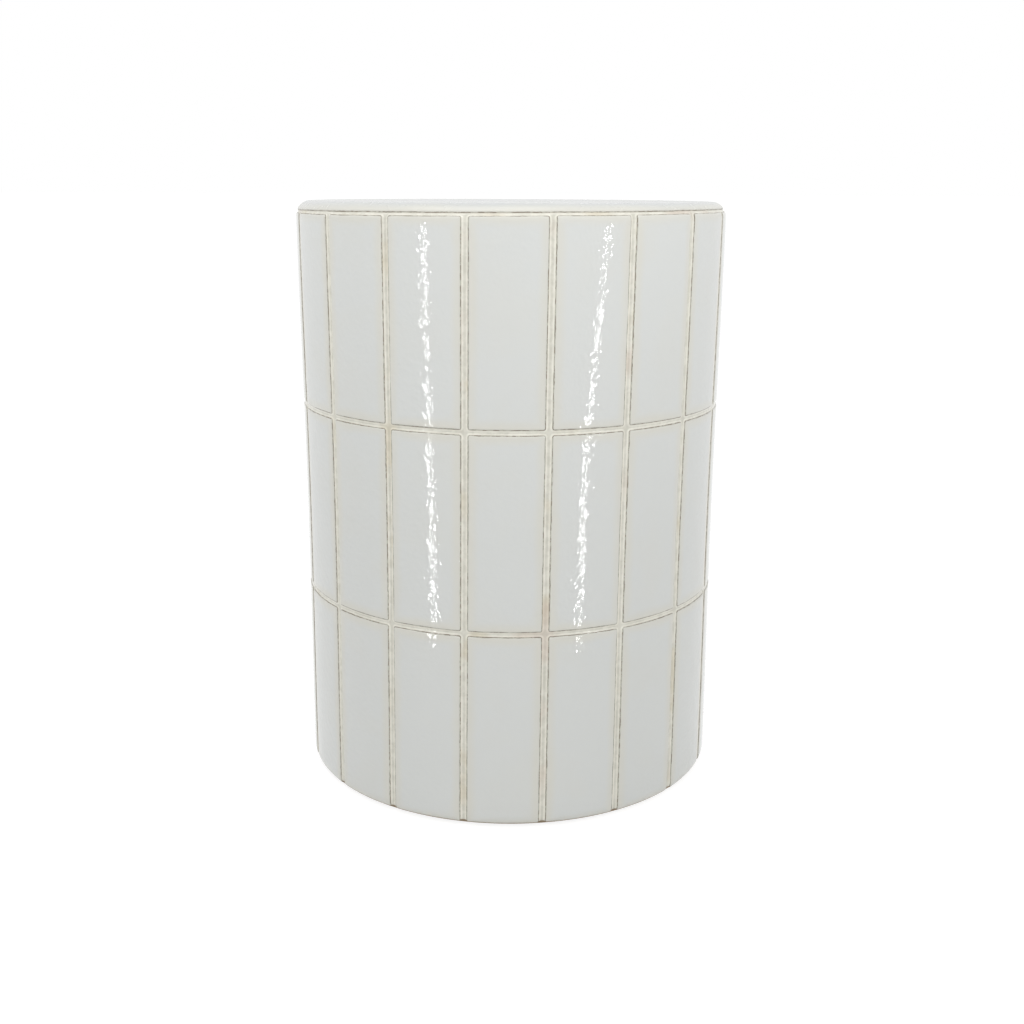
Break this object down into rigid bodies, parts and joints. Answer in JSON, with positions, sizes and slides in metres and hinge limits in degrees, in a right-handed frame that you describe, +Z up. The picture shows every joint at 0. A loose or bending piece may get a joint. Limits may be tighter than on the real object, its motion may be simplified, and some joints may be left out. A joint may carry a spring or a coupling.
{
  "type": "garden stool",
  "caption": "Hollow drum-shaped ceramic garden stool, white glazed, with a grid of raised panels round its side, a flat seat and an open foot on stick-on pads",
  "frame": {"origin": "on the floor, under the centre of the drum", "axes": "+Z up along the drum's axis, one column of panels faces -Y"},
  "size_m": [0.332, 0.332, 0.45],
  "materials": {
    "panel_glaze": "gloss white glaze over stoneware, warmer and thinner at the panel edges",
    "seat_glaze": "gloss white glaze over stoneware",
    "groove_glaze": "gloss cream glaze pooled in the grooves, bare clay on the hidden inside",
    "bare_clay": "fired stoneware left bare under the foot",
    "pad_rubber": "matt soft rubber"
  },
  "bodies": {
    "root": {"seat_slab": "seat_glaze", "drum_wall": "groove_glaze", "foot_ring": "bare_clay", "foot_pads": "pad_rubber", "upper_panel_01": "panel_glaze", "upper_panel_02": "panel_glaze", "upper_panel_03": "panel_glaze", "upper_panel_04": "panel_glaze", "upper_panel_05": "panel_glaze", "upper_panel_06": "panel_glaze", "upper_panel_07": "panel_glaze", "upper_panel_08": "panel_glaze", "upper_panel_09": "panel_glaze", "upper_panel_10": "panel_glaze", "upper_panel_11": "panel_glaze", "upper_panel_12": "panel_glaze", "upper_panel_13": "panel_glaze", "upper_panel_14": "panel_glaze", "upper_panel_15": "panel_glaze", "upper_panel_16": "panel_glaze", "upper_panel_17": "panel_glaze", "upper_panel_18": "panel_glaze", "middle_panel_01": "panel_glaze", "middle_panel_02": "panel_glaze", "middle_panel_03": "panel_glaze", "middle_panel_04": "panel_glaze", "middle_panel_05": "panel_glaze", "middle_panel_06": "panel_glaze", "middle_panel_07": "panel_glaze", "middle_panel_08": "panel_glaze", "middle_panel_09": "panel_glaze", "middle_panel_10": "panel_glaze", "middle_panel_11": "panel_glaze", "middle_panel_12": "panel_glaze", "middle_panel_13": "panel_glaze", "middle_panel_14": "panel_glaze", "middle_panel_15": "panel_glaze", "middle_panel_16": "panel_glaze", "middle_panel_17": "panel_glaze", "middle_panel_18": "panel_glaze", "lower_panel_01": "panel_glaze", "lower_panel_02": "panel_glaze", "lower_panel_03": "panel_glaze", "lower_panel_04": "panel_glaze", "lower_panel_05": "panel_glaze", "lower_panel_06": "panel_glaze", "lower_panel_07": "panel_glaze", "lower_panel_08": "panel_glaze", "lower_panel_09": "panel_glaze", "lower_panel_10": "panel_glaze", "lower_panel_11": "panel_glaze", "lower_panel_12": "panel_glaze", "lower_panel_13": "panel_glaze", "lower_panel_14": "panel_glaze", "lower_panel_15": "panel_glaze", "lower_panel_16": "panel_glaze", "lower_panel_17": "panel_glaze", "lower_panel_18": "panel_glaze"}
  },
  "joints": []
}
